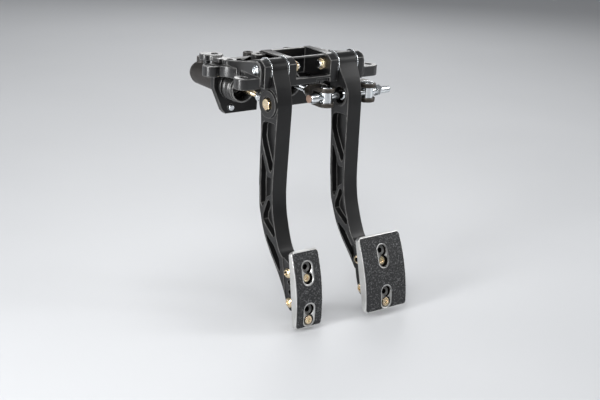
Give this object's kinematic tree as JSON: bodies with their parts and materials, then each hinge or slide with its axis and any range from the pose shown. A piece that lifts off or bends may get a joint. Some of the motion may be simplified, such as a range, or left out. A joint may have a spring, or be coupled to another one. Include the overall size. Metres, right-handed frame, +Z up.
{
  "type": "hanging pedal box",
  "caption": "Hanging clutch and brake pedal box: black frame with mounting ears, pocketed arms, curved grip pads, balance bar, pushrods and flanged cylinders.",
  "frame": {"origin": "midway between the four mounting ears, on their top faces", "axes": "+X to the driver's right, +Y forward in the car, +Z up, away from the pads"},
  "size_m": [0.2202, 0.2814, 0.3051],
  "materials": {
    "black_anodised": "satin black anodised",
    "cylinder_alloy": "dull dark anodised",
    "bare_alloy": "brushed",
    "yellow_zinc": "yellow zinc plated",
    "bright_zinc": "bright zinc plated",
    "black_steel": "oiled black oxide",
    "copper_disc": "dull copper",
    "bush_bronze": "sintered bronze",
    "boot_rubber": "matt",
    "grip_sheet": "coarse grit"
  },
  "bodies": {
    "frame": {"main_frame": "black_anodised", "left_bracket": "black_anodised", "right_bracket": "black_anodised", "cylinder_plate": "black_anodised", "plate_screws": "black_steel", "bracket_dowels": "black_steel", "pivot_bolts": "bright_zinc", "pivot_nuts": "yellow_zinc", "thrust_washers": "bright_zinc", "clutch_cylinder": "cylinder_alloy", "left_brake_cylinder": "cylinder_alloy", "right_brake_cylinder": "cylinder_alloy", "flange_bolts": "bright_zinc", "flange_washers": "bright_zinc", "clutch_boot": "boot_rubber", "left_brake_boot": "boot_rubber", "right_brake_boot": "boot_rubber", "stop_rings": "bright_zinc"},
    "clutch_pedal": {"clutch_arm": "black_anodised", "clutch_bushes": "bush_bronze", "clutch_pad_bracket": "black_anodised", "clutch_bracket_screws": "yellow_zinc", "clutch_bracket_nuts": "yellow_zinc", "clutch_pad": "bare_alloy", "clutch_grip": "grip_sheet", "clutch_pad_screws": "yellow_zinc", "clutch_link_bolt": "yellow_zinc", "clutch_link_nut": "yellow_zinc"},
    "clutch_rod": {"clutch_rod_end": "bright_zinc", "clutch_pushrod": "yellow_zinc", "clutch_lock_nut": "bright_zinc"},
    "clutch_piston": {"clutch_piston": "bare_alloy"},
    "brake_pedal": {"brake_arm": "black_anodised", "brake_bushes": "bush_bronze", "brake_pad_bracket": "black_anodised", "brake_bracket_screws": "yellow_zinc", "brake_bracket_nuts": "yellow_zinc", "brake_pad": "bare_alloy", "brake_grip": "grip_sheet", "brake_pad_screws": "yellow_zinc", "bearing_race": "black_steel"},
    "bar_ball": {"bearing_ball": "black_steel"},
    "balance_bar": {"balance_bar": "bright_zinc", "bar_end_disc": "copper_disc", "bar_end_nut": "bright_zinc"},
    "left_trunnion": {"left_trunnion": "bright_zinc"},
    "right_trunnion": {"right_trunnion": "bright_zinc"},
    "left_rod": {"left_clevis": "black_steel", "left_pushrod": "bright_zinc", "left_lock_nut": "bright_zinc"},
    "right_rod": {"right_clevis": "black_steel", "right_pushrod": "bright_zinc", "right_lock_nut": "bright_zinc"},
    "left_piston": {"left_piston": "bare_alloy"},
    "right_piston": {"right_piston": "bare_alloy"}
  },
  "joints": [
    {"name": "clutch_hinge", "type": "hinge", "parent": "frame", "child": "clutch_pedal", "pos_m": [-0.0508, -0.036, 0.007], "axis": [1, 0, 0], "range_deg": [0, 22], "stiffness_Nm_per_rad": 5, "springref_deg": -14.32},
    {"name": "clutch_rod_pin", "type": "hinge", "parent": "clutch_pedal", "child": "clutch_rod", "pos_m": [-0.0508, -0.045, -0.032], "axis": [1, 0, 0], "range_deg": [-23, 1]},
    {"name": "clutch_piston_slide", "type": "slide", "parent": "frame", "child": "clutch_piston", "axis": [0, 1, 0], "range_m": [0, 0.01577]},
    {"name": "brake_hinge", "type": "hinge", "parent": "frame", "child": "brake_pedal", "pos_m": [0.0508, -0.036, 0.007], "axis": [1, 0, 0], "range_deg": [0, 20], "stiffness_Nm_per_rad": 6, "springref_deg": -14.32},
    {"name": "bar_tilt", "type": "hinge", "parent": "brake_pedal", "child": "bar_ball", "pos_m": [0.0508, -0.04703, -0.03148], "axis": [0, 0, 1], "range_deg": [-4, 4]},
    {"name": "bar_spin", "type": "hinge", "parent": "bar_ball", "child": "balance_bar", "pos_m": [0.0508, -0.04703, -0.03148], "axis": [1, 0, 0], "continuous": true},
    {"name": "left_trunnion_turn", "type": "hinge", "parent": "bar_ball", "child": "left_trunnion", "pos_m": [0.01905, -0.04703, -0.03148], "axis": [1, 0, 0], "range_deg": [-21, 1]},
    {"name": "right_trunnion_turn", "type": "hinge", "parent": "bar_ball", "child": "right_trunnion", "pos_m": [0.08255, -0.04703, -0.03148], "axis": [1, 0, 0], "range_deg": [-21, 1]},
    {"name": "left_clevis_swivel", "type": "hinge", "parent": "left_trunnion", "child": "left_rod", "pos_m": [0.01905, -0.04703, -0.03148], "axis": [0, 0, 1], "range_deg": [-5, 5]},
    {"name": "right_clevis_swivel", "type": "hinge", "parent": "right_trunnion", "child": "right_rod", "pos_m": [0.08255, -0.04703, -0.03148], "axis": [0, 0, 1], "range_deg": [-5, 5]},
    {"name": "left_piston_slide", "type": "slide", "parent": "frame", "child": "left_piston", "axis": [0, 1, 0], "range_m": [0, 0.01432]},
    {"name": "right_piston_slide", "type": "slide", "parent": "frame", "child": "right_piston", "axis": [0, 1, 0], "range_m": [0, 0.01432]}
  ],
  "couplings": [
    {"joint": "clutch_rod_pin", "follows": "clutch_hinge", "ratio": -1},
    {"joint": "clutch_piston_slide", "follows": "clutch_hinge", "m_per_rad": 0.039755},
    {"joint": "left_trunnion_turn", "follows": "brake_hinge", "ratio": -1},
    {"joint": "right_trunnion_turn", "follows": "brake_hinge", "ratio": -1},
    {"joint": "left_piston_slide", "follows": "brake_hinge", "m_per_rad": 0.039604},
    {"joint": "right_piston_slide", "follows": "brake_hinge", "m_per_rad": 0.039604},
    {"joint": "left_clevis_swivel", "follows": "bar_tilt", "ratio": -1},
    {"joint": "right_clevis_swivel", "follows": "bar_tilt", "ratio": -1}
  ]
}
